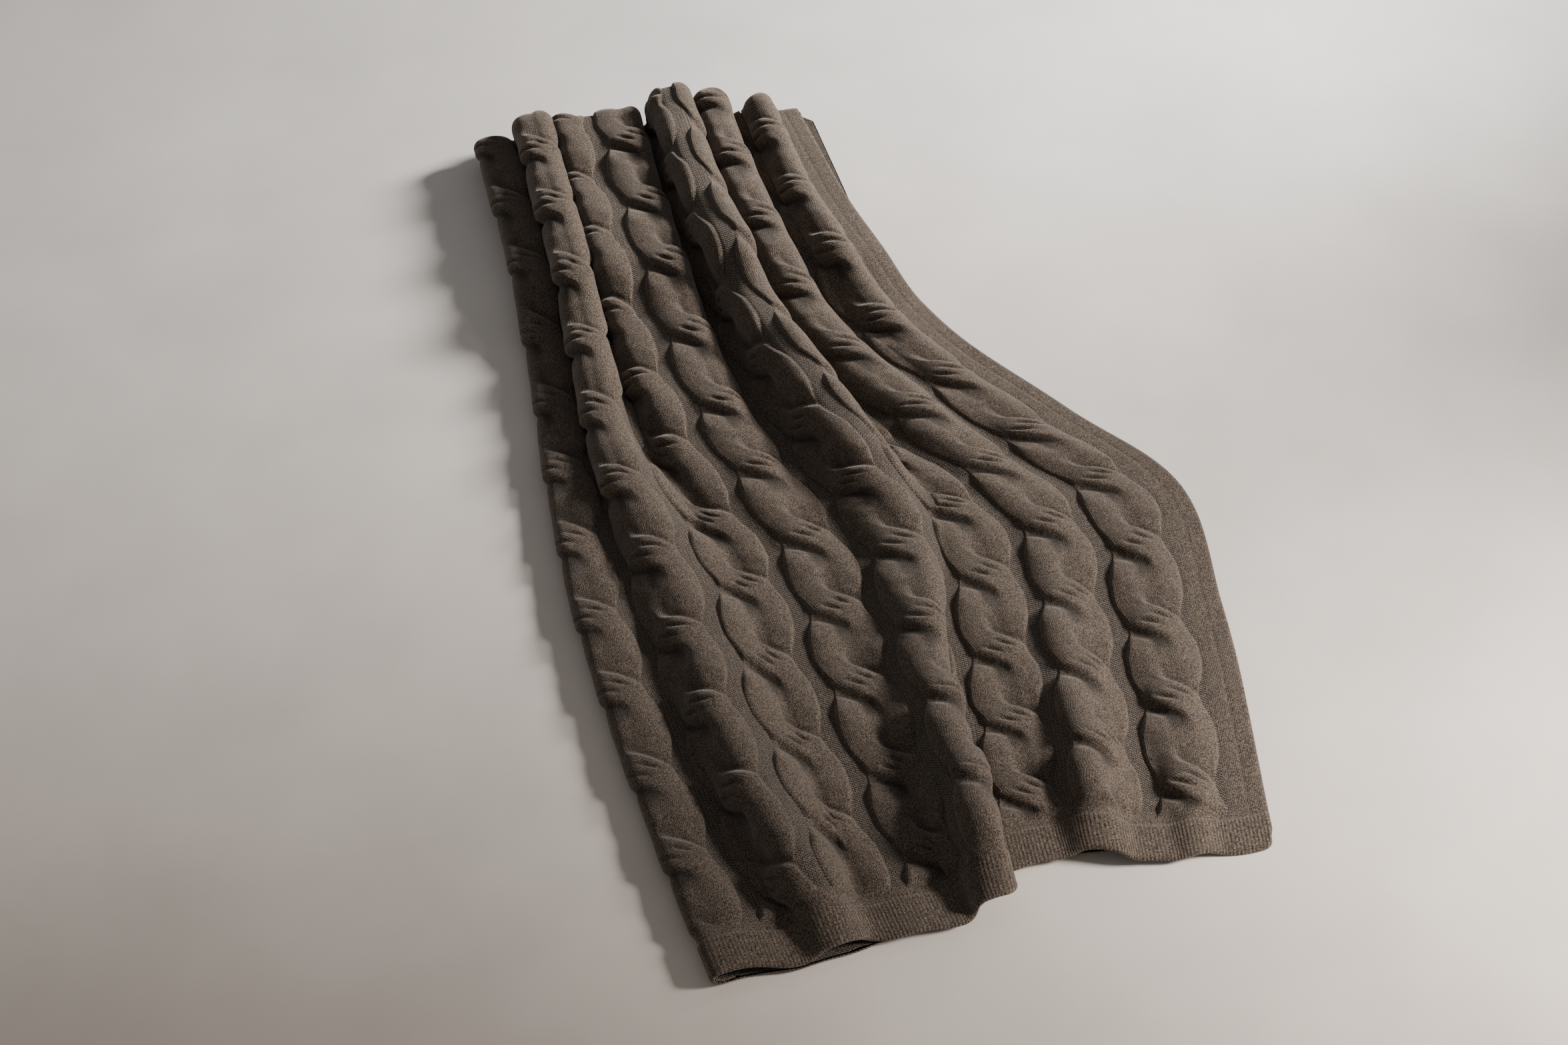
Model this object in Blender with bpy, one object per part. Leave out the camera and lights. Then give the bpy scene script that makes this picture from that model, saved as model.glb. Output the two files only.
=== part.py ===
"""A cable-knit throw, laid on a flat surface with its far end and its left side turned under.

The throw is one knitted panel. Distances on the flat cloth are "across", from the left
selvedge to the right one, and "along", from the near hem to the far one. The panel is shaped
in three steps: each row is folded across, the rows are laid out on the surface, and the far
end is turned under. The cables are then raised from the back of the cloth.
Units are metres, +Z is up, and the near hem faces -Y.
"""

import math
from collections import namedtuple

import bmesh
import bpy
import numpy as np

# The flat cloth, across
CABLES = 12
CABLE = 0.080  # one rope cable
PURL = 0.014  # the sunken band on each side of a cable
SIDE_BAND = 0.030
PITCH = CABLE + PURL
WIDTH = 2 * SIDE_BAND + PURL + CABLES * PITCH

# The flat cloth, along
REPEATS = 13
REPEAT = 0.1223  # from one crossing of a cable to the next
HEM = 0.055
LENGTH = 2 * HEM + REPEATS * REPEAT

# The build-up of the knit, from its back to its face
GROUND = 0.0034
HEM_THICK = 0.0050
STRAND_RISE = 0.0060  # a cable's two strands, where they lie side by side
CROSSING_RISE = 0.0030  # more, where one strand passes over the other
PRESSED = 0.0055  # the turned-under cloth, cables and all
CABLE_END = 0.014  # a cable sinks into the hem over this length
FIRST_CROSSING = 0.85  # of a repeat above the hem, or half a repeat less in every other cable

# The outline of a cable and of its upper strand. Phase runs from -0.5 to 0.5 along a repeat, away
# from the near hem, and is 0 where the strands cross.
MID_HALF = 0.0425  # half of the cable's width between crossings
PINCHED_HALF = 0.0312  # and at a crossing
PINCH_SHARP = 1.6
CROSSES_FROM = -0.045  # the upper strand's right edge leaves the cable's border at this phase
CROSSES_OVER = 0.30
CROWN = 0.5
RISES_OVER = 0.32  # half the length in which the upper strand stands higher
SUNK_OVER = 0.34  # half the length in which the lower strand is pressed down
SUNK = 0.70
WEB = 0.0036  # height between the strands

# Where the cloth is turned under
TURNED_CABLES = 4
FOLD_ACROSS = SIDE_BAND + PURL / 2 + (TURNED_CABLES + 0.35) * PITCH
FOLD_ALONG = 1.385
LEFT_TURN = 0.030  # length of cloth that goes round the left fold
LAYER_GAP = 0.0015
FAR_LAYER_GAP = 0.0060  # between the two pressed layers that meet face to face
DROP = 0.10  # length over which a layer comes down past an edge beneath it
FLAP_REACH = 0.295  # the flap reaches no further back than this from the far fold

# Where the rows lie: along the cloth, left end x and y, width laid out, turn in degrees
Section = namedtuple("Section", "along left_x left_y width turn")
SECTIONS = (
    Section(0.000, -0.169, -0.556, 0.620, 16.5),
    Section(0.350, -0.290, -0.245, 0.720, 16.1),
    Section(0.550, -0.350, -0.065, 0.750, 16.3),
    Section(0.750, -0.397, 0.124, 0.655, 13.8),
    Section(0.950, -0.437, 0.318, 0.540, 12.2),
    Section(1.150, -0.483, 0.512, 0.480, 12.0),
    Section(FOLD_ALONG, -0.550, 0.738, 0.460, 12.6),
)
MIDDLE = (-0.0788, 0.1454)  # the middle of the laid-out throw, moved to the origin

# The near hem stands back to the right of its biggest fold
SET_BACK = 0.048
SET_BACK_AT = 0.445  # metres from the left fold
SET_BACK_LEFT = 0.070  # it falls off over these lengths to the left and right
SET_BACK_RIGHT = 0.300
SET_BACK_ALONG = 0.450
SET_BACK_BENEATH = 0.200  # the layer beneath stands back this much sooner

# Lengthwise folds of the top layer. Crests are metres from the left fold, tops are the flat
# lengths past them and slopes are degrees, each at the near hem and at 0.35 m, 0.75 m and
# FOLD_ALONG along the cloth.
STATIONS = (0.0, 0.35, 0.75, FOLD_ALONG)
Fold = namedtuple("Fold", "flank crest top left_slope right_slope")
FOLDS = (
    Fold(0.060, (0.150, 0.128, 0.114, 0.108), (0, 0, 0.008, 0.012), (25, 42, 72, 74), (24, 22, 42, 72)),
    Fold(0.045, (0.248, 0.240, 0.220, 0.214), (0, 0.02, 0.070, 0.088), (5, 5, 34, 84), (4, 5, 30, 84)),
    Fold(0.085, (0.372, 0.385, 0.434, 0.436), (0, 0, 0.006, 0.008), (32, 24, 44, 74), (96, 58, 62, 88)),
    Fold(0.058, (0.556, 0.562, 0.574, 0.572), (0, 0, 0.002, 0.004), (22, 16, 20, 66), (22, 18, 22, 70)),
    Fold(0.038, (0.672, 0.672, 0.678, 0.682), (0, 0, 0.000, 0.004), (14, 7, 12, 62), (14, 7, 12, 62)),
)
FINE = 0.001  # step at which a row's profile is added up
FLANK_STEPS = 64
LEAST_SLOPE = 1.0
STEEPEST = 104.0
GATHERS = (0.02, 4.0)  # a row's slopes are scaled by a value between these, to give its width
HALVINGS = 22  # of that range, to find the value
LIFTED = 0.0015  # the valleys between folds are rounded off by about this much
HEM_DROOP = 0.50  # share of a fold's height that is gone at the near hem
DROOP_OVER = 0.100
SETTLE = 0.080  # the top layer sinks onto the layer under it over this length
RIDGE_OUT = 0.45  # how far a ridge stands out round the far fold, as a share of its height
TURN_STEPS = 48  # steps that add up the cloth round a fold
NUDGE = 0.0004  # half the step that finds the cloth's tilt at a point

# Mesh lines on the flat cloth
LINES_IN_CABLE = (0.0, 0.15, 0.5, 0.85, 1.0)
CLOSE = 0.005  # a cable's lines keep this far from those of the left turn
ROWS_IN_REPEAT = 7
FAR_TURN_ROWS = 5
FLAP_ROWS = 3
BACK_EVERY = 3  # the back keeps each third row


def smooth(t):
    """From 0 to 1 as t does, level at both ends."""
    t = np.clip(t, 0, 1)
    return t * t * (3 - 2 * t)


def bump(t):
    """From 0 at t = -1 to 1 at 0 and back to 0 at 1."""
    return 0.5 + 0.5 * np.cos(math.pi * np.clip(t, -1, 1))


def eased(at, places, values):
    """Values read between named places, with no kink at them."""
    places, values = np.asarray(places, float), np.asarray(values, float)
    slopes = np.gradient(values, places)
    i = np.clip(np.searchsorted(places, at) - 1, 0, len(places) - 2)
    step = places[i + 1] - places[i]
    t = np.clip((at - places[i]) / step, 0, 1)
    start = (1 + 2 * t) * (1 - t) ** 2 * values[i] + t * (1 - t) ** 2 * step * slopes[i]
    end = t * t * (3 - 2 * t) * values[i + 1] + t * t * (t - 1) * step * slopes[i + 1]
    return start + end


def section(along, name):
    return eased(along, [s.along for s in SECTIONS], [getattr(s, name) for s in SECTIONS])


def rise_of_flank(slope):
    """Height that a flank of length 1 gains when its steepest slope is this many radians."""
    t = (np.arange(FLANK_STEPS) + 0.5) / FLANK_STEPS
    return np.sin(np.multiply.outer(slope, np.sin(math.pi * t))).mean(-1)


def slopes_of_row(along, gather):
    """Distances from the left fold, the slope there of each row, and where each fold starts and ends."""
    s = np.arange(-LEFT_TURN / 2, WIDTH - FOLD_ACROSS + FINE, FINE)
    slope = np.zeros((len(along), len(s)))
    starts, ends = [], []
    for fold in FOLDS:
        crest = eased(along, STATIONS, fold.crest)[:, None]
        fall = crest + eased(along, STATIONS, fold.top).clip(0)[:, None]
        up, down = (
            np.radians((eased(along, STATIONS, side)[:, None] * gather).clip(LEAST_SLOPE, STEEPEST))
            for side in (fold.left_slope, fold.right_slope)
        )
        right = fold.flank * rise_of_flank(up) / rise_of_flank(down)
        slope += up * np.sin(math.pi * np.clip((s - crest) / fold.flank + 1, 0, 1))
        slope -= down * np.sin(math.pi * np.clip((s - fall) / right, 0, 1))
        starts.append(crest - fold.flank)
        ends.append(fall + right)
    feet = [starts[0]] + [(a + b) / 2 for a, b in zip(ends, starts[1:])] + [ends[-1]]
    return s, slope, np.hstack(feet)


def running_sum(values):
    """The integral of each row from its start."""
    sums = np.cumsum((values[:, 1:] + values[:, :-1]) / 2, axis=1) * FINE
    return np.hstack([np.zeros((len(values), 1)), sums])


def top_profile(along):
    """For each row, how far right of the left fold the top layer lies, and how high its folds stand."""
    wanted = section(along, "width")[:, None]
    low, high = (np.full_like(wanted, end) for end in GATHERS)
    for _ in range(HALVINGS):
        gather = (low + high) / 2
        s, slope, feet = slopes_of_row(along, gather)
        wide = (np.cos(slope).sum(1) * FINE)[:, None] > wanted
        low, high = np.where(wide, gather, low), np.where(wide, high, gather)
    turning = math.pi * (1 - smooth(s / LEFT_TURN + 0.5))
    x, z = running_sum(np.cos(slope + turning)), running_sum(np.sin(slope))
    for i, places in enumerate(feet):
        places = np.append(places, s[-1])
        z[i] -= np.interp(s, places, np.interp(places, s, z[i]))
    x -= np.array([np.interp(0, s, row) for row in x])[:, None]
    return s, x, (z + np.hypot(z, LIFTED)) / 2


def round_the_left(s):
    """How high the cloth has risen round the left fold, and the whole rise."""
    share = np.arange(TURN_STEPS + 1) / TURN_STEPS
    rise = np.cumsum(np.sin(math.pi * smooth(share))) * LEFT_TURN / TURN_STEPS
    return np.interp(s / LEFT_TURN + 0.5, share, rise), rise[-1]


def set_back(s, along):
    """How far back the cloth lies near the hem, because of the fold it comes out of."""
    s = np.where(s < -LEFT_TURN / 2, np.minimum(SET_BACK_BENEATH - s, SET_BACK_AT), s)
    side = np.where(s < SET_BACK_AT, SET_BACK_LEFT, SET_BACK_RIGHT)
    return SET_BACK * bump((s - SET_BACK_AT) / side) * (1 - smooth(along / SET_BACK_ALONG))


def lay_out(across, level):
    """Points on the back of the cloth, and how far along the cloth each one is.

    across holds the columns. level holds the rows: 0 to 1 is the near hem to the far fold,
    1 to 2 is round the far fold, and 2 to 3 is back beneath to the far hem.
    """
    s = across - FOLD_ACROSS
    along = np.clip(level, 0, 1) * FOLD_ALONG
    fine, x_rows, z_rows = top_profile(along)
    x = np.array([np.interp(s, fine, row) for row in x_rows])
    ridge = np.array([np.interp(s, fine, row) for row in z_rows])
    beneath = s < -LEFT_TURN / 2
    x = np.where(beneath, x_rows[:, :1] - LEFT_TURN / 2 - s, x)
    droop = HEM_DROOP * (1 - smooth(along / DROOP_OVER))
    ridge = np.where(beneath, 0, ridge * (1 - droop[:, None]))
    on_top = smooth(s / LEFT_TURN + 0.5)

    # the levels that the layers lie at
    stack = PRESSED + LAYER_GAP + PRESSED + FAR_LAYER_GAP + PRESSED
    over_flap = smooth((along - (FOLD_ALONG - FLAP_REACH - DROP)) / DROP)[:, None]
    near_far_fold = smooth((along - (FOLD_ALONG - DROP)) / DROP)[:, None]
    lower = PRESSED + over_flap * (stack - PRESSED)
    rise, whole_rise = round_the_left(s)
    settled = smooth((s - LEFT_TURN / 2) / SETTLE)
    left_level = lower + rise - (whole_rise - LAYER_GAP) * settled
    right_level = over_flap * (PRESSED + LAYER_GAP) + near_far_fold * (stack - PRESSED)
    past = smooth((x - FOLD_ACROSS) / DROP) * (s > 0)
    flat = left_level * (1 - past) + right_level * past

    # round the far fold, where each column takes its own length of cloth
    around = np.clip(level - 1, 0, 1)[:, None] * math.pi
    flap = PRESSED + LAYER_GAP * (1 - on_top)
    middle = (flat + flap) / 2
    upper, out = flat - middle + ridge, flat - middle + RIDGE_OUT * ridge
    steps = (np.arange(TURN_STEPS) + 0.5) * math.pi / TURN_STEPS
    semi = np.where(steps[:, None] < math.pi / 2, upper[-1], (middle - flap)[-1])
    pace = np.hypot(out[-1] * np.cos(steps)[:, None], semi * np.sin(steps)[:, None])
    length = np.vstack([np.zeros(len(s)), np.cumsum(pace, axis=0) * math.pi / TURN_STEPS])
    edges = np.linspace(0, math.pi, TURN_STEPS + 1)
    used = np.array([np.interp(around[:, 0], edges, column) for column in length.T]).T

    # back beneath, each column by what is left of it
    left_over = LENGTH - FOLD_ALONG - length[-1]
    back = np.clip(level - 2, 0, 1)[:, None] * left_over
    line = along[:, None] - back
    crushed = smooth(around / (math.pi / 2) - 1)
    flap_x = np.where(s < 0, -s, s * section(FOLD_ALONG, "width") / (WIDTH - FOLD_ACROSS))
    x = x * (1 - crushed) + flap_x * crushed
    z = middle + np.where(around < math.pi / 2, upper, middle - flap) * np.cos(around)
    z = np.where(level[:, None] <= 1, flat + ridge, z)

    turn = np.radians(section(line, "turn"))
    further = out * np.sin(around) + set_back(s, along[:, None])
    left_x = section(line, "left_x") - further * np.sin(turn)
    left_y = section(line, "left_y") + further * np.cos(turn)
    points = np.stack([left_x + x * np.cos(turn), left_y + x * np.sin(turn), z], axis=-1)
    points[..., :2] -= MIDDLE
    return points, along[:, None] + used + back


def facing(across, level):
    """The direction that the face of the cloth looks in, at each column and row."""
    step = NUDGE / FOLD_ALONG
    side = lay_out(across + NUDGE, level)[0] - lay_out(across - NUDGE, level)[0]
    length = lay_out(across, level + step)[0] - lay_out(across, level - step)[0]
    normal = np.cross(side, length)
    return normal / np.linalg.norm(normal, axis=-1, keepdims=True)


def half_width(phase):
    """Half the width of a cable."""
    near = (0.5 + 0.5 * np.cos(2 * math.pi * phase)) ** PINCH_SHARP
    return MID_HALF - (MID_HALF - PINCHED_HALF) * near


def upper_edge(phase):
    """How far right the upper strand reaches from the cable's middle."""
    return half_width(phase) * (1 - smooth((phase - CROSSES_FROM) / CROSSES_OVER))


def crown(offset, left, right):
    """The height of a strand from 0 to 1."""
    place = (2 * offset - left - right) / (right - left)
    return np.clip(1 - place**2, 0, 1) ** CROWN


def cable_rise(across, along):
    """How far the cables stand out of the ground of the knit."""
    place = (across - SIDE_BAND - PURL / 2) / PITCH
    number = np.floor(place)
    offset = (place - number - 0.5) * PITCH
    repeats = (along - HEM) / REPEAT - FIRST_CROSSING + number % 2 / 2
    phase = repeats - np.round(repeats)
    right, left = upper_edge(phase), -upper_edge(-phase)
    upper = crown(offset, left, right) * (STRAND_RISE + CROSSING_RISE * bump(phase / RISES_OVER))
    lower = crown(offset, -right, -left) * STRAND_RISE * (1 - SUNK * bump(phase / SUNK_OVER))
    between = WEB * (1 - (offset / half_width(phase)) ** 2) * (1 - bump(2 * phase))
    rise = np.maximum(np.maximum(upper, lower), between)
    ends = smooth((along - HEM) / CABLE_END) * smooth((LENGTH - HEM - along) / CABLE_END)
    inside = (number >= 0) & (number < CABLES) & (np.abs(offset) < half_width(phase))
    return np.where(inside, rise * ends, 0)


def thickness(across, along, level):
    """From the back of the cloth to its face."""
    s = across - FOLD_ACROSS
    hem = 1 - smooth((np.minimum(along, LENGTH - along) - HEM + CABLE_END) / CABLE_END)
    shown = GROUND + (HEM_THICK - GROUND) * hem + cable_rise(across, along)
    hidden = 1 - smooth(3 * s / LEFT_TURN + 1)
    hidden = np.maximum(hidden, smooth(2.5 * level - 3.3)[:, None])
    return shown * (1 - hidden) + PRESSED * hidden


def columns():
    """Where the lengthwise mesh lines lie, across the flat cloth."""
    lines = [0.0, FOLD_ACROSS / 2]
    turn = [FOLD_ACROSS + LEFT_TURN * share for share in (-0.5, -0.25, 0.0, 0.25)]
    for number in range(TURNED_CABLES, CABLES):
        start = SIDE_BAND + PURL + number * PITCH
        cable = [start + share * CABLE for share in LINES_IN_CABLE]
        lines += [line for line in cable if line < turn[0] - CLOSE or line > turn[-1] + CLOSE]
    lines += turn + [WIDTH - SIDE_BAND, WIDTH - SIDE_BAND / 2, WIDTH]
    return np.array(sorted(lines))


def rows():
    """Where the crosswise mesh lines lie, as levels."""
    step = REPEAT / ROWS_IN_REPEAT
    main = np.arange(HEM, FOLD_ALONG - step / 3, step)
    main = np.concatenate([[0.0, HEM / 2], main, [FOLD_ALONG]]) / FOLD_ALONG
    turn = 1 + np.arange(1, FAR_TURN_ROWS + 1) / FAR_TURN_ROWS
    flap = 2 + np.arange(1, FLAP_ROWS + 1) / FLAP_ROWS
    return np.concatenate([main, turn, flap])


def add_grid(mesh, points, flip):
    """Adds a grid of faces and returns its points."""
    made = [[mesh.verts.new(p) for p in row] for row in points]
    for low, high in zip(made, made[1:]):
        for i in range(len(low) - 1):
            corners = [low[i], low[i + 1], high[i + 1], high[i]]
            if flip:
                corners.reverse()
            mesh.faces.new((corners[0], corners[1], corners[3]))
            mesh.faces.new((corners[1], corners[2], corners[3]))
    return made


def border(made, kept_columns, kept_rows):
    """The points round a grid's edge, each with its place on the whole grid."""
    c, r = kept_columns, kept_rows
    ring = [((r[0], c[i]), made[0][i]) for i in range(len(c))]
    ring += [((r[j], c[-1]), made[j][-1]) for j in range(1, len(r))]
    ring += [((r[-1], c[i]), made[-1][i]) for i in range(len(c) - 2, -1, -1)]
    ring += [((r[j], c[0]), made[j][0]) for j in range(len(r) - 2, 0, -1)]
    return ring


def close_rim(mesh, face_ring, back_ring):
    """Joins the fine ring round the face to the sparser one round the back."""
    back_at = dict(back_ring)
    start = next(i for i, (place, _) in enumerate(face_ring) if place in back_at)
    ring = face_ring[start:] + face_ring[:start]
    ring.append(ring[0])
    back = back_at[ring[0][0]]
    pending = []
    for (_, here), (place, there) in zip(ring, ring[1:]):
        mesh.faces.new((here, back, there))
        if place in back_at:
            mesh.faces.new((back, back_at[place], there))
            back = back_at[place]


def build_throw():
    across, level = columns(), rows()
    back, along = lay_out(across, level)
    deep = thickness(across, along, level)[..., None]
    face = back + facing(across, level) * deep
    kept = sorted(set(range(0, len(level), BACK_EVERY)) | {len(level) - 1})
    mesh = bmesh.new()
    everywhere = range(len(across))
    face_points = add_grid(mesh, face, flip=False)
    back_points = add_grid(mesh, back[kept], flip=True)
    close_rim(mesh, border(face_points, everywhere, range(len(level))),
              border(back_points, everywhere, kept))
    data = bpy.data.meshes.new("blanket")
    mesh.to_mesh(data)
    mesh.free()
    data.shade_smooth()
    throw = bpy.data.objects.new("blanket", data)
    bpy.context.collection.objects.link(throw)
    return throw


def knit_material():
    material = bpy.data.materials.new("taupe_knit")
    material.use_nodes = True
    surface = material.node_tree.nodes["Principled BSDF"]
    surface.inputs["Base Color"].default_value = (0.105, 0.080, 0.062, 1)
    surface.inputs["Roughness"].default_value = 0.95
    surface.inputs["Metallic"].default_value = 0.0
    return material


def main():
    for old in list(bpy.data.objects):
        bpy.data.objects.remove(old)
    throw = build_throw()
    throw.data.materials.append(knit_material())


main()
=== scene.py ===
"""The look of the cable-knit throw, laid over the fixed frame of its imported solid.

The cloth is worked out on one fine grid of points, from the same folds as the solid. It is cut
into one strip for each cable that shows, a strip for each side, and a plain back. Distances on
the flat cloth are "across", from the left selvedge, and "along", from the near hem, and s is
the distance across from the left fold. Units are metres, and the near hem faces -Y.
"""

import math
from collections import namedtuple

import bpy
import numpy as np
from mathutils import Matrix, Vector


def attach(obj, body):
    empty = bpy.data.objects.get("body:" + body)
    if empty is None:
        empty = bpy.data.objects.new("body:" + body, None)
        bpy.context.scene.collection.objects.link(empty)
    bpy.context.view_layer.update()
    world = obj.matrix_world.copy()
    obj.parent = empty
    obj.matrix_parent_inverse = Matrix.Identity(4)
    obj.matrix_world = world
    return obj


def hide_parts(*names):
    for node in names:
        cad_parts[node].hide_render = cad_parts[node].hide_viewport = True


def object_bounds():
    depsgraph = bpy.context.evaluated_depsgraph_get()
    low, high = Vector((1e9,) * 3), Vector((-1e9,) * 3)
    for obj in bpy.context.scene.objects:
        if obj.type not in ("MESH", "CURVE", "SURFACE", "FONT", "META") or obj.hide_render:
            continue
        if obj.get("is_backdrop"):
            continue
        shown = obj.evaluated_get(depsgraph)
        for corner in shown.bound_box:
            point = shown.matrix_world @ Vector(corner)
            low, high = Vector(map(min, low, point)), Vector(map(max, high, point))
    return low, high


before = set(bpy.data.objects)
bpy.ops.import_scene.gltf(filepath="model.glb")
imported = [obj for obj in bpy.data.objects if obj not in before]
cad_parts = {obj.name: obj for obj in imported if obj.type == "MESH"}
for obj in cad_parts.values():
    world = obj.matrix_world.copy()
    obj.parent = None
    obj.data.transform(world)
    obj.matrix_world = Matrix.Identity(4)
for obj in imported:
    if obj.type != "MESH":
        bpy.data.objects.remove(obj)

SOLID_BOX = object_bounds()

# The flat cloth, across
CABLES = 12
CABLE = 0.080  # one rope cable
PURL = 0.014  # the sunken band on each side of a cable
SIDE_BAND = 0.030
PITCH = CABLE + PURL
WIDTH = 2 * SIDE_BAND + PURL + CABLES * PITCH

# The flat cloth, along
REPEATS = 13
REPEAT = 0.1223  # from one crossing of a cable to the next
HEM = 0.055
LENGTH = 2 * HEM + REPEATS * REPEAT

# Where the cloth is turned under
TURNED_CABLES = 4
TURNED_OF_NEXT = 0.35  # share of one more cable
FOLD_ACROSS = SIDE_BAND + PURL / 2 + (TURNED_CABLES + TURNED_OF_NEXT) * PITCH
FOLD_ALONG = 1.385
LEFT_TURN = 0.030  # length of cloth that goes round the left fold
PRESSED = 0.0055  # thickness of the turned-under cloth
LAYER_GAP = 0.0015
FAR_LAYER_GAP = 0.0060  # between the two pressed layers that meet face to face
DROP = 0.10  # length over which a layer comes down past an edge beneath it
FLAP_REACH = 0.295  # the flap reaches no further back than this from the far fold

# Where the rows lie: along the cloth, left end x and y, width laid out, turn in degrees
Section = namedtuple("Section", "along left_x left_y width turn")
SECTIONS = (
    Section(0.000, -0.169, -0.556, 0.620, 16.5),
    Section(0.350, -0.290, -0.245, 0.720, 16.1),
    Section(0.550, -0.350, -0.065, 0.750, 16.3),
    Section(0.750, -0.397, 0.124, 0.655, 13.8),
    Section(0.950, -0.437, 0.318, 0.540, 12.2),
    Section(1.150, -0.483, 0.512, 0.480, 12.0),
    Section(FOLD_ALONG, -0.550, 0.738, 0.460, 12.6),
)
MIDDLE = (-0.0788, 0.1454)  # the middle of the laid-out throw, moved to the origin

# The near hem stands back to the right of its biggest fold
SET_BACK = 0.048
SET_BACK_AT = 0.445  # metres from the left fold
SET_BACK_LEFT = 0.070  # it falls off over these lengths to the left and right
SET_BACK_RIGHT = 0.300
SET_BACK_ALONG = 0.450
SET_BACK_BENEATH = 0.200  # the layer beneath stands back this much sooner

# Lengthwise folds of the top layer. Crests are metres from the left fold, tops are the flat
# lengths past them and slopes are degrees, each at the near hem and at 0.35 m, 0.75 m and
# FOLD_ALONG along the cloth.
STATIONS = (0.0, 0.35, 0.75, FOLD_ALONG)
Fold = namedtuple("Fold", "flank crest top left_slope right_slope")
FOLDS = (
    Fold(0.060, (0.150, 0.128, 0.114, 0.108), (0, 0, 0.008, 0.012), (25, 42, 72, 74), (24, 22, 42, 72)),
    Fold(0.045, (0.248, 0.240, 0.220, 0.214), (0, 0.02, 0.070, 0.088), (5, 5, 34, 84), (4, 5, 30, 84)),
    Fold(0.085, (0.372, 0.385, 0.434, 0.436), (0, 0, 0.006, 0.008), (32, 24, 44, 74), (96, 58, 62, 88)),
    Fold(0.058, (0.556, 0.562, 0.574, 0.572), (0, 0, 0.002, 0.004), (22, 16, 20, 66), (22, 18, 22, 70)),
    Fold(0.038, (0.672, 0.672, 0.678, 0.682), (0, 0, 0.000, 0.004), (14, 7, 12, 62), (14, 7, 12, 62)),
)
FINE = 0.001  # step at which a row's profile is added up
FLANK_STEPS = 64
LEAST_SLOPE = 1.0  # degrees
STEEPEST = 104.0
GATHERS = (0.02, 4.0)  # a row's slopes are scaled by a value between these, to give its width
HALVINGS = 22  # of that range, to find the value
LIFTED = 0.0015  # the valleys between folds are rounded off by about this much
HEM_DROOP = 0.50  # share of a fold's height that is gone at the near hem
DROOP_OVER = 0.100
SETTLE = 0.080  # the top layer sinks onto the layer under it over this length
RIDGE_OUT = 0.45  # how far a ridge stands out round the far fold, as a share of its height
TURN_STEPS = 48  # steps that add up the cloth round a fold

# Where the cloth is pressed as thin as PRESSED: from free to pressed at the left fold, in metres
# to the right of it, and from free to pressed at the far fold, as levels (see lay_out)
LEFT_PRESSED = (-0.003, -0.013)
FAR_PRESSED = (1.32, 1.72)
PRESSED_IN = 0.0018  # how much thinner the pressed knit is between its cables
TURN_FLATTENS = 0.50  # share of the cables' height that is pressed out at the left fold
TURN_OVER = 0.050

# Small unevenness of the laid cloth: lengths of a wave, where in it the cloth starts, and height
Wave = namedtuple("Wave", "across along start height")
WAVES = (
    Wave(0.210, 0.370, 0.10, 0.0012),
    Wave(0.130, -0.290, 0.40, 0.0008),
    Wave(0.400, 0.170, 0.75, 0.0007),
    Wave(0.083, 0.330, 0.20, 0.0005),
)
VALLEY_WAVES = 0.4  # share of the waves' height that is left in a valley
WAVY_FOLD = 0.02  # a fold this high has the whole waves
HEM_WAVES = (Wave(0.170, 1.0, 0.15, 0.0030), Wave(0.071, 1.0, 0.60, 0.0012))
HEM_WAVE_OVER = 0.10
CORNER = 0.014  # radius of the cloth's corners
FLOATS = 0.0010  # the cloth never lies quite flat

# The build-up of the knit, from its back to its face
GROUND = 0.0032
HEM_THICK = 0.0052
STRAND_RISE = 0.0068  # a cable's two strands, where they lie side by side
CROSSING_RISE = 0.0038  # more, where one strand passes over the other
MERGE = 4  # power that merges the strands' heights; the higher, the sharper the line between them
LEAST = 0.0014  # the knit is nowhere thinner
VALLEY_SHARE = 0.85  # the knit in a valley is no thicker than this share of its radius
VALLEY_POWER = 3  # how sharply that limit sets in
CABLE_END = 0.014  # a cable sinks into the hem over this length
FIRST_CROSSING = 0.85  # of a repeat above the hem, or half a repeat less in every other cable
CABLES_STRAIGHT = 0.03  # a cable's borders stop waving over this length before the far fold

# The outline of a cable and of its upper strand. Phase runs from -0.5 to 0.5 along a repeat, away
# from the near hem, and is 0 where the strands cross.
MID_HALF = 0.0425  # half of the cable's width between crossings
PINCHED_HALF = 0.0312  # and at a crossing
PINCH_SHARP = 1.6  # the higher, the shorter the pinch
CROSSES_FROM = -0.045  # the upper strand's right edge leaves the cable's border at this phase
CROSSES_OVER = 0.30  # and reaches the cable's middle after this much more
SPLIT = 0.005  # the line between the strands swings by this much
SPLIT_OVER = 0.35  # in this last part of the half repeat past a crossing
MIDWAY = 0.25  # past this phase the strands are told apart by their sides

# The finer forms of a crossing. Names in AT are phases from it, and names in OVER or WITHIN are
# the phases over which a form fades out.
CROWN = 0.62  # how round a strand is: 1 is a parabola, 0.5 half an ellipse, and less is squarer
CROSSING_CROWN = 0.44  # the upper strand, where it crosses
CROSSES_WITHIN = 0.38
LEAN = 0.66  # share of its half width that a strand's crest lies to the left before a crossing
LEAN_AT = 0.21  # and to the right past it
LEAN_OVER = 0.27
RISES_OVER = 0.32  # where the upper strand stands higher
SUNK = 0.88  # share of its height by which the lower strand is pressed down
SUNK_OVER = 0.34
WEB = 0.0040  # height between the strands, away from a crossing
WEB_OVER = 0.54
CREASE_TURN = math.radians(35)  # the upper strand crosses at this angle to a line straight across
Crease = namedtuple("Crease", "side middle")
CREASES = (Crease(0.0062, 0.0030), Crease(-0.0065, -0.0030))  # metres across and along the strand
CREASE_DEEP = 0.0036
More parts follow.
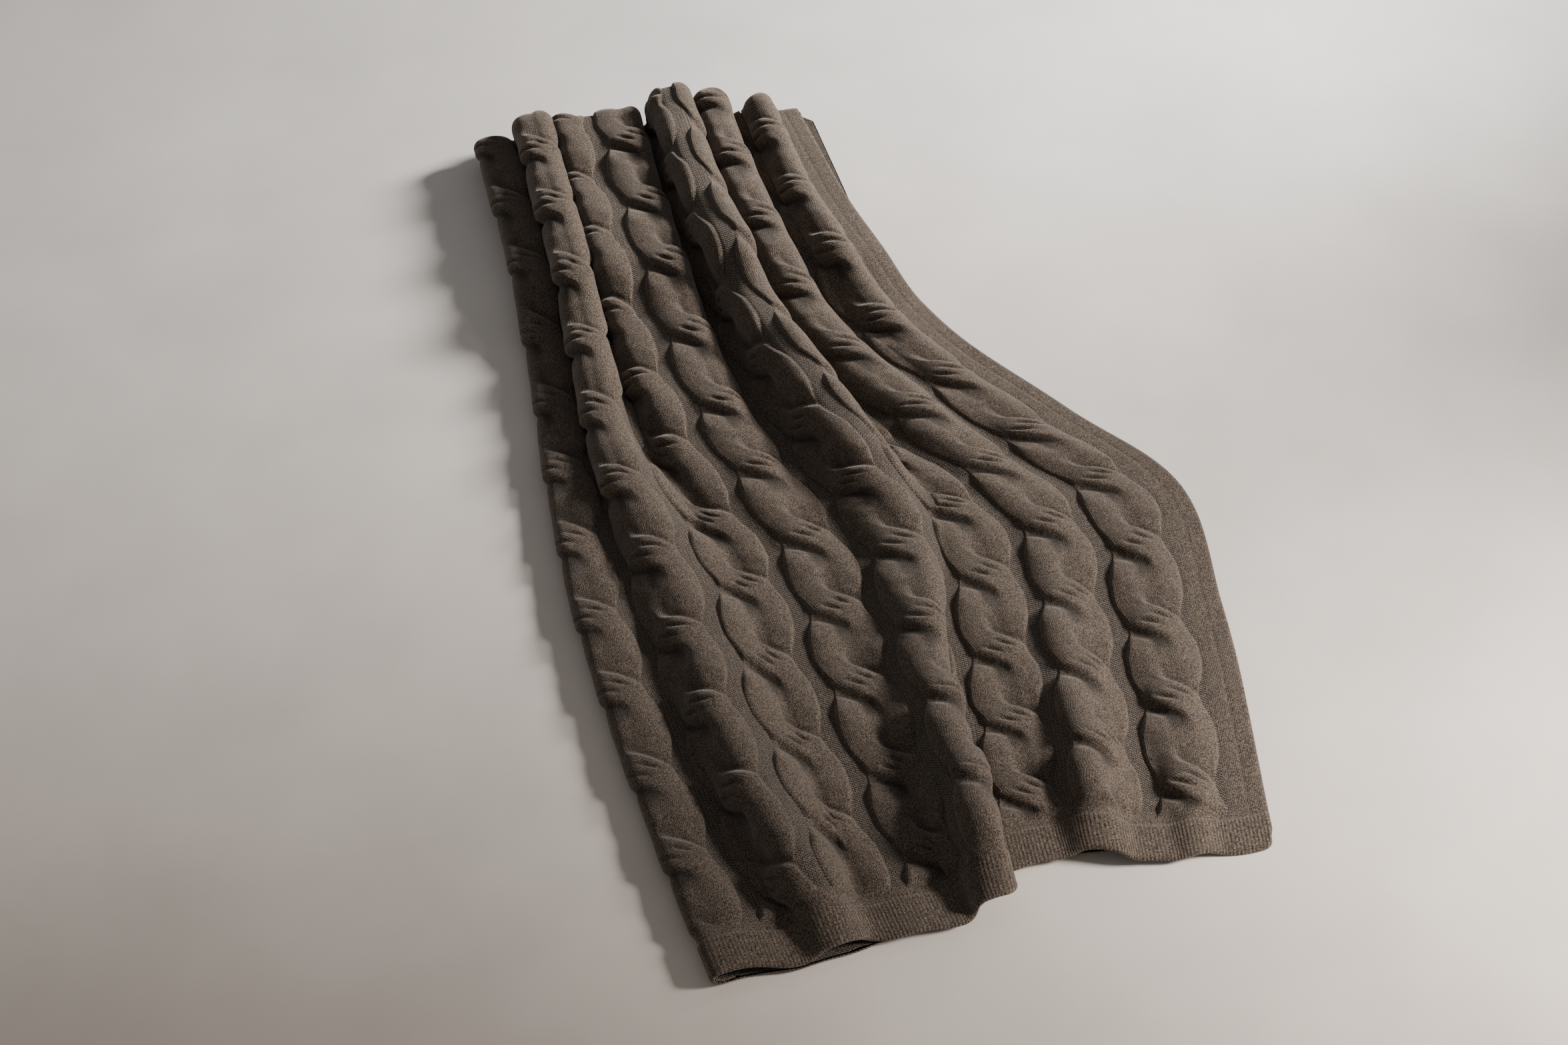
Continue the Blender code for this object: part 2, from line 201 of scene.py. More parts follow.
CREASE_WIDE = 0.0023
CREASE_HALF = 0.0190  # half of a crease's length
LIP = 0.0010  # the raised right edge of the upper strand, past a crossing
LIP_IN = 0.0040
LIP_WIDE = 0.0030
LIP_AT = 0.17
LIP_OVER = 0.28
POCKET = 0.0034  # depth of the lower strand where it comes out from beneath that edge
POCKET_OUT = 0.0050
POCKET_WIDE = 0.0055
HOLLOW = 0.0060  # and where it goes in beneath the left edge, before a crossing
HOLLOW_OUT = 0.0050
HOLLOW_WIDE = 0.0072
HOLLOW_AT = 0.23
HOLLOW_OVER = 0.25
EDGE_WALE = 0.0008  # the raised stitch along a cable's border
EDGE_WALE_IN = 0.0018
EDGE_WALE_WIDE = 0.0012

# The cables' small unevenness: their crossings come sooner or later by this phase, and their
# heights differ by this share. Each comes round again after a length, and a cable is this much
# of it ahead of the one on its left.
UNEVEN_PHASE = 0.022
UNEVEN_PHASE_OVER = 0.317
UNEVEN_HEIGHT = 0.10
UNEVEN_HEIGHT_OVER = 0.233
UNEVEN_STEP = 0.37

# The finer forms beside the cables
PURL_GROOVE = 0.0006
PURL_EDGE = 0.01  # the purl stitches set in over this share of a cable's width
HEM_LINE = 0.0012
HEM_LINE_WIDE = 0.0022
BAND_LINE = 0.0008
BAND_LINE_AT = 0.009  # metres out from the last purl band
BAND_LINE_WIDE = 0.0016

# Stitches
WALES = 23  # to a cable and its purl bands
COURSES = 33  # to a repeat
WALE = PITCH / WALES
COURSE = REPEAT / COURSES
STRAND_WALES = 5  # on each side of a strand's middle

# The mesh
ROW_STEP = 0.0018  # between crosswise lines
SHARE_STEP = 0.028  # of a cable, between its lengthwise lines
BORDER_SHARES = (0.425, 0.450, 0.470, 0.486, 0.500)  # lines inside a cable's border
BAND_SHARES = (0.06, 0.22, 0.50)  # and from its border to the middle of the purl band
BAND_STEP = 0.0022  # between the lengthwise lines of the side band and of the turned side
TURNED_STEP = 0.0095
FAR_TURN_ROWS = 34  # crosswise lines round the far fold and on the flap beneath
FLAP_ROWS = 30
BACK_EVERY = 3  # the back keeps every third line each way
PROFILE_ROWS = 281
NUDGE = 0.0004  # half the step that finds the cloth's tilt at a point
SLACK = 1e-6  # a line at a cable's border counts as inside it
JUST_INSIDE = 1e-9  # keeps a place inside the last cell of a table
SHORTEST = 1e-12  # a direction shorter than this has none

# Round an edge of the cloth: how far in from the edge, and what share of the thickness
Rim = namedtuple("Rim", "inward share")
RIMS = (
    Rim(0.0024, 0.00),
    Rim(0.0006, 0.05),
    Rim(0.0000, 0.30),
    Rim(0.0007, 0.62),
    Rim(0.0022, 0.88),
    Rim(0.0045, 1.00),
)
RIM_IN = np.array([rim.inward for rim in RIMS])

# The baking maps, where a long strip is cut into segments laid side by side
SEGMENTS = {"turned_side": 2, "side_band": 6}
SEGMENTS_OF_A_CABLE = 4
MAP_EDGE = 0.012  # margin of a segment, as a share of its size

# The wool. Heights are in metres, and a shade is a share of the full brightness.
LEG_SLOPE = 0.9  # courses that a stitch's leg climbs for each wale
LEG_ROUND = 0.6  # how blunt a leg is: the lower, the blunter
LEG_GAP = 0.50  # height between two stitches of a wale, as a share of a stitch's
PURL_WAVE = 0.28  # courses that a row of purl bumps swings up and down
STITCH_HIGH = 0.00032
RIB_HIGH = 0.00035
PURL_HIGH = 0.0010
FIBRE_HIGH = 0.0004
FIBRE = 0.0009  # size of the fibre's grain, of the heather's flecks and of the softer clouds
HEATHER = 0.0016
CLOUDS = 0.011
HEATHERED = (0.36, 0.64)  # noise values that give the dark and the pale wool
NOISE_SPREAD = (0.3, 0.7)  # most noise values lie between these
FIBRE_SHADE = 0.50  # the grain and the clouds are darker and brighter by these shares
CLOUDY = 0.10
GAP_PAINTED_SHADE = 0.70  # painted shade in the gaps between the stitches of the stocking stitch, of the purl and of the hem
PURL_GAP_PAINTED_SHADE = 0.40
RIB_GAP_PAINTED_SHADE = 0.74
# Painted shade: the wool's colour is darkened in the cables' hollows and creases, where shade falls
HOLLOW_SHADE = 1.1  # how much painted shade a hollow and a crease get, where 1 is DEEP_SHADE
CREASE_SHADE = 0.5
DEEP_SHADE = 0.20
WOOL_DARK = (0.026, 0.018, 0.013, 1)
WOOL_PALE = (0.152, 0.116, 0.089, 1)
WOOL_ROUGH = (0.98, 0.86)  # between the stitches and on them
WOOL_SPECULAR = 0.25
SHEEN = 0.35
SHEEN_ROUGH = 0.45
SHEEN_TINT = (0.90, 0.82, 0.76, 1)

# The floor
FLOOR_NEAR = (0.69, 0.60, 0.53, 1)
FLOOR_FAR = (0.71, 0.685, 0.67, 1)
FLOOR_CHANGES = (-1.1, 0.7)  # from its near to its far colour between these places along Y
FLOOR_MOTTLE = 0.20  # size of its faint patches
MOTTLED = 0.07
FLOOR_ROUGH = 0.75
FLOOR_SIZE = 30.0
FLOOR_Z = -0.0006  # just under the cloth

# The camera: degrees above the floor, metres away, lens and sensor in millimetres
CAMERA_LOOKS_AT = (-MIDDLE[0], -MIDDLE[1], 0.0)
CAMERA_ABOVE = 48.0
CAMERA_AWAY = 2.7
CAMERA_LENS = 53.86
CAMERA_SENSOR = 36.0
CAMERA_SHIFT = (-0.0655, 0.0323)

# The light: cones in degrees, soft radii in metres, powers in watts
SKY = (1.0, 0.97, 0.94)
SKY_STRENGTH = 0.23
Lamp = namedtuple("Lamp", "name place towards cone soft power colour")
LAMPS = (
    Lamp("key", (2.4, 1.5, 1.40), (-0.10, 0.80, 0), 46, 0.36, 1240, (1.0, 0.96, 0.91)),
    Lamp("side", (2.8, -0.5, 1.40), (1.05, -0.45, 0), 33, 0.40, 1350, (1.0, 0.955, 0.90)),
)


def smooth(t):
    """From 0 to 1 as t does, level at both ends."""
    t = np.clip(t, 0, 1)
    return t * t * (3 - 2 * t)


def bump(t):
    """From 0 at t = -1 to 1 at 0 and back to 0 at 1."""
    return 0.5 + 0.5 * np.cos(math.pi * np.clip(t, -1, 1))


def bell(t):
    """1 at t = 0, and soon 0 on both sides."""
    return np.exp(-t * t)


def reached(value, start, end):
    """From 0 where the value is at its start to 1 at its end, which may be the lower of the two."""
    return smooth((value - start) / (end - start))


def merged(*heights):
    """The greatest of the heights, rounded where two are alike."""
    return sum(height**MERGE for height in heights) ** (1 / MERGE)


def eased(at, places, values):
    """Values read between named places, with no kink at them."""
    places, values = np.asarray(places, float), np.asarray(values, float)
    slopes = np.gradient(values, places)
    i = np.clip(np.searchsorted(places, at) - 1, 0, len(places) - 2)
    step = places[i + 1] - places[i]
    t = np.clip((at - places[i]) / step, 0, 1)
    start = (1 + 2 * t) * (1 - t) ** 2 * values[i] + t * (1 - t) ** 2 * step * slopes[i]
    end = t * t * (3 - 2 * t) * values[i + 1] + t * t * (t - 1) * step * slopes[i + 1]
    return start + end


def section(along, name):
    """One measure of SECTIONS, read anywhere along the cloth."""
    return eased(along, [s.along for s in SECTIONS], [getattr(s, name) for s in SECTIONS])


def rise_of_flank(slope):
    """Height that a flank of length 1 gains when its steepest slope is this many radians."""
    t = (np.arange(FLANK_STEPS) + 0.5) / FLANK_STEPS
    return np.sin(np.multiply.outer(slope, np.sin(math.pi * t))).mean(-1)


def slopes_of_row(along, gather):
    """Distances from the left fold, each row's slopes there, and the places between its folds."""
    s = np.arange(-LEFT_TURN / 2, WIDTH - FOLD_ACROSS + FINE, FINE)
    slope = np.zeros((len(along), len(s)))
    starts, ends = [], []
    for fold in FOLDS:
        crest = eased(along, STATIONS, fold.crest)[:, None]
        fall = crest + eased(along, STATIONS, fold.top).clip(0)[:, None]
        up, down = (
            np.radians((eased(along, STATIONS, side)[:, None] * gather).clip(LEAST_SLOPE, STEEPEST))
            for side in (fold.left_slope, fold.right_slope)
        )
        right = fold.flank * rise_of_flank(up) / rise_of_flank(down)
        slope += up * np.sin(math.pi * np.clip((s - crest) / fold.flank + 1, 0, 1))
        slope -= down * np.sin(math.pi * np.clip((s - fall) / right, 0, 1))
        starts.append(crest - fold.flank)
        ends.append(fall + right)
    feet = [starts[0]] + [(a + b) / 2 for a, b in zip(ends, starts[1:])] + [ends[-1]]
    return s, slope, np.hstack(feet)


def running_sum(values):
    """The integral of each row from its start."""
    sums = np.cumsum((values[:, 1:] + values[:, :-1]) / 2, axis=1) * FINE
    return np.hstack([np.zeros((len(values), 1)), sums])


def top_profile(along):
    """For each row, how far right the top layer lies, how high its folds stand, and how hollow it is."""
    wanted = section(along, "width")[:, None]
    low, high = (np.full_like(wanted, end) for end in GATHERS)
    for _ in range(HALVINGS):
        gather = (low + high) / 2
        s, slope, feet = slopes_of_row(along, gather)
        wide = (np.cos(slope).sum(1) * FINE)[:, None] > wanted
        low, high = np.where(wide, gather, low), np.where(wide, high, gather)
    turning = math.pi * (1 - smooth(s / LEFT_TURN + 0.5))
    x, z = running_sum(np.cos(slope + turning)), running_sum(np.sin(slope))
    for i, places in enumerate(feet):
        places = np.append(places, s[-1])
        z[i] -= np.interp(s, places, np.interp(places, s, z[i]))
    x -= np.array([np.interp(0, s, row) for row in x])[:, None]
    return s, x, (z + np.hypot(z, LIFTED)) / 2, np.gradient(slope, FINE, axis=1)


class Profile:
    """The top layer's profile, worked out on some rows and read between them."""

    def __init__(self):
        self.s, *self.tables = top_profile(np.linspace(0, FOLD_ALONG, PROFILE_ROWS))

    def read(self, which, s, along):
        """The values of one table at these places."""
        table = self.tables[which]
        i = np.clip(along / FOLD_ALONG * (PROFILE_ROWS - 1), 0, PROFILE_ROWS - 1 - JUST_INSIDE)
        j = np.clip((s - self.s[0]) / FINE, 0, len(self.s) - 1 - JUST_INSIDE)
        i0, j0 = i.astype(int), j.astype(int)
        fi, fj = i - i0, j - j0
        near = table[i0, j0] * (1 - fj) + table[i0, j0 + 1] * fj
        far = table[i0 + 1, j0] * (1 - fj) + table[i0 + 1, j0 + 1] * fj
        return near * (1 - fi) + far * fi


# The tables of a profile
TO_THE_RIGHT, HIGH, HOLLOWNESS = range(3)


def round_the_left(s):
    """How high the cloth has risen round the left fold, and the whole rise."""
    share = np.arange(TURN_STEPS + 1) / TURN_STEPS
    rise = np.cumsum(np.sin(math.pi * smooth(share))) * LEFT_TURN / TURN_STEPS
    return np.interp(s / LEFT_TURN + 0.5, share, rise), rise[-1]


def set_back(s, along):
    """How far back the cloth lies near the hem, because of the fold it comes out of."""
    s = np.where(s < -LEFT_TURN / 2, np.minimum(SET_BACK_BENEATH - s, SET_BACK_AT), s)
    side = np.where(s < SET_BACK_AT, SET_BACK_LEFT, SET_BACK_RIGHT)
    return SET_BACK * bump((s - SET_BACK_AT) / side) * (1 - smooth(along / SET_BACK_ALONG))


def waves(table, s, along):
    """The sum of the table's waves."""
    turns = [s / w.across + along / w.along + w.start for w in table]
    return sum(w.height * np.sin(2 * math.pi * turn) for w, turn in zip(table, turns))


def corners(across, along):
    """How far in from the near hem a point lies because the cloth's corners are round."""
    in_from_side = np.minimum(across, WIDTH - across).clip(0, CORNER)
    drawn_in = CORNER - np.sqrt(CORNER**2 - (CORNER - in_from_side) ** 2)
    return drawn_in * (1 - smooth(along / (2 * CORNER)))


def top_layer(profile, s, along):
    """How far right the cloth lies, and how high its folds stand, which is 0 beneath the left fold."""
    beneath = s < -LEFT_TURN / 2
    turn_end = profile.read(TO_THE_RIGHT, np.full_like(s, -LEFT_TURN / 2), along)
    x = np.where(beneath, turn_end - LEFT_TURN / 2 - s, profile.read(TO_THE_RIGHT, s, along))
    droop = HEM_DROOP * (1 - smooth(along / DROOP_OVER))
    ridge = np.where(beneath, 0, profile.read(HIGH, s, along) * (1 - droop))
    wavy = VALLEY_WAVES + (1 - VALLEY_WAVES) * smooth(ridge / WAVY_FOLD)
    ridge = ridge + waves(WAVES, s, along) * smooth((s - LEFT_TURN) / SETTLE) * wavy
    return x, np.where(beneath, 0, (ridge + np.hypot(ridge, FLOATS)) / 2)


def resting_level(x, s, along):
    """The level that the layer lies at, its folds aside, over what is turned under it."""
    stack = PRESSED + LAYER_GAP + PRESSED + FAR_LAYER_GAP + PRESSED
    over_flap = smooth((along - (FOLD_ALONG - FLAP_REACH - DROP)) / DROP)
    near_far_fold = smooth((along - (FOLD_ALONG - DROP)) / DROP)
    lower = PRESSED + over_flap * (stack - PRESSED)
    rise, whole_rise = round_the_left(s)
    settled = smooth((s - LEFT_TURN / 2) / SETTLE)
    left_level = lower + rise - (whole_rise - LAYER_GAP) * settled
    right_level = over_flap * (PRESSED + LAYER_GAP) + near_far_fold * (stack - PRESSED)
    past = smooth((x - FOLD_ACROSS) / DROP) * (s > 0)
    return left_level * (1 - past) + right_level * past


def lengths_round(out, above, below):
    """The length of cloth that each column has used after each step round the far fold."""
    steps = (np.arange(TURN_STEPS) + 0.5) * math.pi / TURN_STEPS
    semi = np.where(steps[:, None] < math.pi / 2, above, below)
    pace = np.hypot(out * np.cos(steps)[:, None], semi * np.sin(steps)[:, None])
    return np.vstack([np.zeros(len(out)), np.cumsum(pace, axis=0) * math.pi / TURN_STEPS])


def along_at(level, across):
    """How far along the cloth each level lies, no further than the far fold."""
    return np.broadcast_to((np.clip(level, 0, 1) * FOLD_ALONG)[:, None], (len(level), across.shape[-1]))


def lay_out(profile, across, level):
    """Points on the back of the cloth, and how far along the cloth each one is.

    across holds rows of columns, and level one number a row: 0 to 1 is the near hem to the far
    fold, 1 to 2 is round the far fold, and 2 to 3 is back beneath to the far hem.
    """
    s = across - FOLD_ACROSS
    along = along_at(level, across)
    x, ridge = top_layer(profile, s, along)
    flat = resting_level(x, s, along)

    # round the far fold, where each column takes its own length of cloth
    around = np.clip(level - 1, 0, 1)[:, None] * math.pi
    flap = PRESSED + LAYER_GAP * (1 - smooth(s / LEFT_TURN + 0.5))
    middle = (flat + flap) / 2
    upper, out = flat - middle + ridge, flat - middle + RIDGE_OUT * ridge
    length = lengths_round(out[-1], upper[-1], (middle - flap)[-1])
    edges = np.linspace(0, math.pi, TURN_STEPS + 1)
    used = np.array([np.interp(around[:, 0], edges, column) for column in length.T]).T

    # back beneath, each column by what is left of it
    back = np.clip(level - 2, 0, 1)[:, None] * (LENGTH - FOLD_ALONG - length[-1])
    line = along - back
    crushed = smooth(around / (math.pi / 2) - 1)
    flap_x = np.where(s < 0, -s, s * section(FOLD_ALONG, "width") / (WIDTH - FOLD_ACROSS))
    x = x * (1 - crushed) + flap_x * crushed
    z = middle + np.where(around < math.pi / 2, upper, middle - flap) * np.cos(around)
    z = np.where(level[:, None] <= 1, flat + ridge, z)

    turn = np.radians(section(line, "turn"))
    hem_wave = waves(HEM_WAVES, np.abs(s), 0) * (1 - smooth(along / HEM_WAVE_OVER))
    further = out * np.sin(around) + set_back(s, along) + hem_wave + corners(across, along)
    left_x = section(line, "left_x") - further * np.sin(turn)
    left_y = section(line, "left_y") + further * np.cos(turn)
    points = np.stack([left_x + x * np.cos(turn), left_y + x * np.sin(turn), z], axis=-1)
    points[..., :2] -= MIDDLE
    return points, along + used + back


def unit(vectors):
    """The vectors at length 1."""
    return vectors / np.maximum(np.linalg.norm(vectors, axis=-1, keepdims=True), SHORTEST)


def facing(profile, across, level):
    """The direction that the face of the cloth looks in, at each point of the grid."""
    step = NUDGE / FOLD_ALONG
    side = lay_out(profile, across + NUDGE, level)[0] - lay_out(profile, across - NUDGE, level)[0]
    length = lay_out(profile, across, level + step)[0] - lay_out(profile, across, level - step)[0]
    return unit(np.cross(side, length))


def grid_normals(points):
    """The normal of the grid's surface at each of its points."""
    side = np.gradient(points, axis=1)
    length = np.gradient(points, axis=0)
    return unit(np.cross(side, length))


def border(phase):
    """Half the width of a cable."""
    near = (0.5 + 0.5 * np.cos(2 * math.pi * phase)) ** PINCH_SHARP
    return MID_HALF - (MID_HALF - PINCHED_HALF) * near


def upper_edge(phase):
    """How far right the upper strand reaches from the cable's middle."""
    crossed = smooth((phase - CROSSES_FROM) / CROSSES_OVER)
    split = SPLIT * np.sin(math.pi * np.clip((0.5 - phase) / SPLIT_OVER, 0, 1))
    return border(phase) * (1 - crossed) - split * crossed


def cable_places(across, along):
    """Whether a point is in a cable's stretch, where across it, from its middle, and its phase."""
    place = (across - SIDE_BAND - PURL / 2) / PITCH
    number = np.floor(place)
    repeats = (along - HEM) / REPEAT - FIRST_CROSSING + number % 2 / 2
    turns = along / UNEVEN_PHASE_OVER + number * UNEVEN_STEP
    repeats = repeats + UNEVEN_PHASE * np.sin(2 * math.pi * turns)
    cabled = (number >= 0) & (number < CABLES)
    return cabled, (place - number - 0.5) * PITCH, repeats - np.round(repeats)


def moved(across, along):
    """How far a point moves across because its cable's borders wave."""
    cabled, offset, phase = cable_places(across, along)
    half, nominal, band = border(phase), CABLE / 2, PITCH / 2
    inside = np.abs(offset) * half / nominal
    outside = half + (np.abs(offset) - nominal) * (band - half) / (band - nominal)
    placed = np.where(np.abs(offset) < nominal, inside, outside)
    return np.where(cabled, np.sign(offset) * placed - offset, 0)


def strand(offset, left, right, crown, lean):
    """The crown of a strand from 0 to 1, and the place across it from -1 to 1."""
    place = (2 * offset - left - right) / (right - left)
    from_top = (place - lean) / (1 - np.sign(place - lean) * lean)
    return np.clip(1 - from_top**2, 0, 1) ** crown, place


def creases(offset, phase):
    """How deep the upper strand is creased, lengthwise, where it crosses."""
    ahead = phase * REPEAT
    side = offset * math.sin(CREASE_TURN) + ahead * math.cos(CREASE_TURN)
    line = offset * math.cos(CREASE_TURN) - ahead * math.sin(CREASE_TURN)
    return sum(
        CREASE_DEEP * bell((side - c.side) / CREASE_WIDE) * bump((line - c.middle) / CREASE_HALF)
        for c in CREASES
    )


def strands(offset, phase):
    """The heights of the two strands and between them, their places across, and the hollows.

    Heights are above the ground, places are in wales from a strand's middle, and the hollows are
    1 at their deepest.
    """
    right, left = upper_edge(phase), -upper_edge(-phase)
    crown = CROWN - (CROWN - CROSSING_CROWN) * bump(phase / CROSSES_WITHIN)
    lean = LEAN * (bump((phase - LEAN_AT) / LEAN_OVER) - bump((phase + LEAN_AT) / LEAN_OVER))
    upper, upper_place = strand(offset, left, right, crown, lean)
    lower, lower_place = strand(offset, -right, -left, CROWN, lean)
    upper = upper * (STRAND_RISE + CROSSING_RISE * bump(phase / RISES_OVER))
    upper = upper + LIP * bump((phase - LIP_AT) / LIP_OVER) * bell((offset - right + LIP_IN) / LIP_WIDE)
    upper = np.where(np.abs(upper_place) < 1, upper, 0)
    lower = lower * STRAND_RISE * (1 - SUNK * bump(phase / SUNK_OVER))
    near, far = (bump((phase + at) / HOLLOW_OVER) for at in (HOLLOW_AT, -HOLLOW_AT))
    hollow = HOLLOW * near * bell((offset - left + HOLLOW_OUT) / HOLLOW_WIDE)
    hollow = hollow + POCKET * far * bell((offset - right - POCKET_OUT) / POCKET_WIDE)
    between = WEB * (1 - (offset / border(phase)) ** 2).clip(0) * (1 - bump(phase / WEB_OVER))
    heights = upper, (lower - hollow).clip(0), between
    return heights, (upper_place * STRAND_WALES, lower_place * STRAND_WALES), hollow / HOLLOW


def softened(grid):
    """The grid with each value blended with its neighbours'."""
    for axis in (0, 1):
        ahead, behind = np.roll(grid, -1, axis), np.roll(grid, 1, axis)
        edge = [slice(None)] * 2
        edge[axis] = [0, -1]
        blended = (ahead + behind + 2 * grid) / 4
        blended[tuple(edge)] = grid[tuple(edge)]
        grid = blended
    return grid


def each_strand(far, upper, lower):
    """A value of the upper strand and of the lower, and then of the right strand and the left."""
    return upper, lower, np.where(far, lower, upper), np.where(far, upper, lower)


# What the knit is like at each point. rise is its height above the ground, and grooves the depth
# of the lines beside the cables. hem is 1 in the hem, and grown is 1 where the cables have all
# their height. rises and wales are each_strand's, and hollow is 1 where the lower strand is
# pulled in deepest, and sets how much painted shade the wool's colour gets there.
Knit = namedtuple("Knit", "rise hem grown grooves rises wales hollow")


def knit(across, offset, inside, phase, along):
    """The knit on the flat cloth, with each point's offset and phase in its cable."""
    heights, (upper_wale, lower_wale), hollow = strands(offset, phase)
    in_from_hem = np.minimum(along, LENGTH - along)
    grown = smooth((in_from_hem - HEM) / CABLE_END)
    upper, lower, between, hollow = (np.where(inside, value * grown, 0) for value in (*heights, hollow))
    in_from_border = border(phase) - np.abs(offset)
    wale = EDGE_WALE * bell((in_from_border - EDGE_WALE_IN) / EDGE_WALE_WIDE) * grown
    hem = 1 - smooth((in_from_hem - HEM + CABLE_END) / CABLE_END)
    from_band_line = np.abs(np.abs(across - WIDTH / 2) - WIDTH / 2 + SIDE_BAND - BAND_LINE_AT)
    grooves = HEM_LINE * bell((in_from_hem - HEM + CABLE_END / 2) / HEM_LINE_WIDE)
    far = phase > 0
    return Knit(
        rise=merged(upper, lower, between) + np.where(inside, wale, 0),
        hem=hem,
        grown=grown,
        grooves=grooves + BAND_LINE * bell(from_band_line / BAND_LINE_WIDE) * (1 - hem),
        rises=each_strand(far, upper, lower),
        wales=each_strand(far, upper_wale, lower_wale),
        hollow=hollow * (upper < lower + between),
    )


def cable_lines(number):
    """Lengthwise mesh lines of a cable and of half the purl band on each side."""
    middle = SIDE_BAND + PURL / 2 + (number + 0.5) * PITCH
    inner = np.arange(SHARE_STEP, BORDER_SHARES[0] - SHARE_STEP / 2, SHARE_STEP)
    outer = [0.5 + share * PURL / CABLE / 2 for share in BAND_SHARES]
    right = np.concatenate([inner, BORDER_SHARES, outer])
    return middle + np.concatenate([-right[::-1], [0.0], right]) * CABLE


def columns():
    """All lengthwise mesh lines, and the number of the line that each strip starts at."""
    first = SIDE_BAND + PURL / 2 + TURNED_CABLES * PITCH
    lines = [RIM_IN, np.arange(RIM_IN[-1] + TURNED_STEP, first - TURNED_STEP / 2, TURNED_STEP)]
    strips = {"turned_side": 0}
    count = sum(map(len, lines))
    for number in range(TURNED_CABLES, CABLES):
        strips[f"cable_{number - TURNED_CABLES + 1}"] = count
        lines += [[SIDE_BAND + PURL / 2 + number * PITCH], cable_lines(number)]
        count += 1 + len(lines[-1])
    strips["side_band"] = count
    start = WIDTH - SIDE_BAND - PURL / 2
    band = np.arange(start, WIDTH - RIM_IN[-1] - BAND_STEP / 2, BAND_STEP)
    lines += [band, WIDTH - RIM_IN[::-1]]
    across = np.concatenate(lines)
    strips["end"] = len(across) - 1
    return across, strips


def rows():
    """The levels of the crosswise mesh lines."""
    main = np.arange(RIM_IN[-1] + ROW_STEP, FOLD_ALONG, ROW_STEP)
    main = np.concatenate([RIM_IN, main]) / FOLD_ALONG
    turn = 1 + np.arange(0, FAR_TURN_ROWS) / FAR_TURN_ROWS
    flap_length = LENGTH - FOLD_ALONG
    flap = 2 + np.linspace(0, 1, FLAP_ROWS + 1) * (1 - RIM_IN[-1] / flap_length)
    rim = 3 - RIM_IN[::-1][1:] / flap_length
    return np.concatenate([main, turn, flap, rim])


def rim_shares(count):
    """The share of the thickness that each of the mesh lines has, less than 1 near both edges."""
    shares = np.ones(count)
    shares[: len(RIMS)] = [rim.share for rim in RIMS]
    shares[-len(RIMS):] = [rim.share for rim in reversed(RIMS)]
    return shares


class Cloth:
    """The whole cloth as grids of points, in rows from the near hem to the far hem."""

    def __init__(self):
        profile = Profile()
        self.flat, self.strips = columns()
        level = rows()
        along = along_at(level, self.flat)
        flat = np.broadcast_to(self.flat, along.shape)
        waving = 1 - reached(along, FOLD_ALONG - CABLES_STRAIGHT, FOLD_ALONG)
        self.across = flat + moved(flat, along) * waving
        self.back, self.along = lay_out(profile, self.across, level)
        thick = self.free_thickness(flat)

        s = self.across - FOLD_ACROSS
        hollowness = np.where(s < -LEFT_TURN / 2, 0, profile.read(HOLLOWNESS, s, along).clip(0))
        crowded = (hollowness * thick / VALLEY_SHARE) ** VALLEY_POWER
        thick = thick / (1 + crowded) ** (1 / VALLEY_POWER)
        hidden = np.maximum(reached(s, *LEFT_PRESSED), reached(level, *FAR_PRESSED)[:, None])
        pressed = PRESSED - PRESSED_IN * (1 - smooth((thick - GROUND) / STRAND_RISE))
        thick = thick * (1 - hidden) + pressed * hidden
        thick = thick * rim_shares(len(level))[:, None] * rim_shares(len(self.flat))
        self.face = self.back + facing(profile, self.across, level) * thick[..., None]
        self.face[..., 2] = self.face[..., 2].clip(0)  # a drooping edge stays above the surface
        self.normal = grid_normals(self.face)

    def free_thickness(self, flat):
        """The thickness that the knit would have if nothing pressed it. It sets the stitches and the
        painted shade too.
        """
        in_cable, nominal, phase = cable_places(flat, self.along)
        inside = in_cable & (np.abs(nominal) <= CABLE / 2 + SLACK)
        offset = nominal + moved(flat, self.along)
        made = knit(flat, offset, inside, phase, self.along)
        creased = np.where(inside, creases(offset, phase) * made.grown, 0)

        self.rises, self.wales, self.ribbed = made.rises, made.wales, made.hem
        self.by_side = np.abs(phase) > MIDWAY
        self.purl = in_cable * made.grown * smooth((np.abs(nominal) / CABLE - 0.5) / PURL_EDGE + 1)
        # painted shade: how much the wool's colour is darkened in the hollows and the creases, where
        # shade falls
        painted_shade = HOLLOW_SHADE * made.hollow + CREASE_SHADE * creased / CREASE_DEEP
        self.painted_shade = softened(painted_shade.clip(0, 1))

        turns = self.along / UNEVEN_HEIGHT_OVER + self.across / PITCH * UNEVEN_STEP
        rise = softened(made.rise) * (1 + UNEVEN_HEIGHT * np.sin(2 * math.pi * turns)) - creased
        rise = rise * (1 - TURN_FLATTENS * (1 - smooth((self.across - FOLD_ACROSS) / TURN_OVER)))
        ground = GROUND + (HEM_THICK - GROUND) * made.hem
        return np.maximum(ground + rise - made.grooves - PURL_GROOVE * self.purl, LEAST)


def quads(row_count, column_count):
    """Corner numbers of a grid's faces, seen from the face of the cloth."""
    first = (np.arange(row_count - 1)[:, None] * column_count + np.arange(column_count - 1)).ravel()
    return np.stack([first, first + 1, first + 1 + column_count, first + column_count], axis=1)


def corner_values(grid, faces):
    """The grid's value at each corner of each face."""
    return grid.reshape(-1)[faces]


def surface_map(u, v):
    """One place for each corner."""
    return np.stack([u, v], axis=-1).reshape(-1, 2)


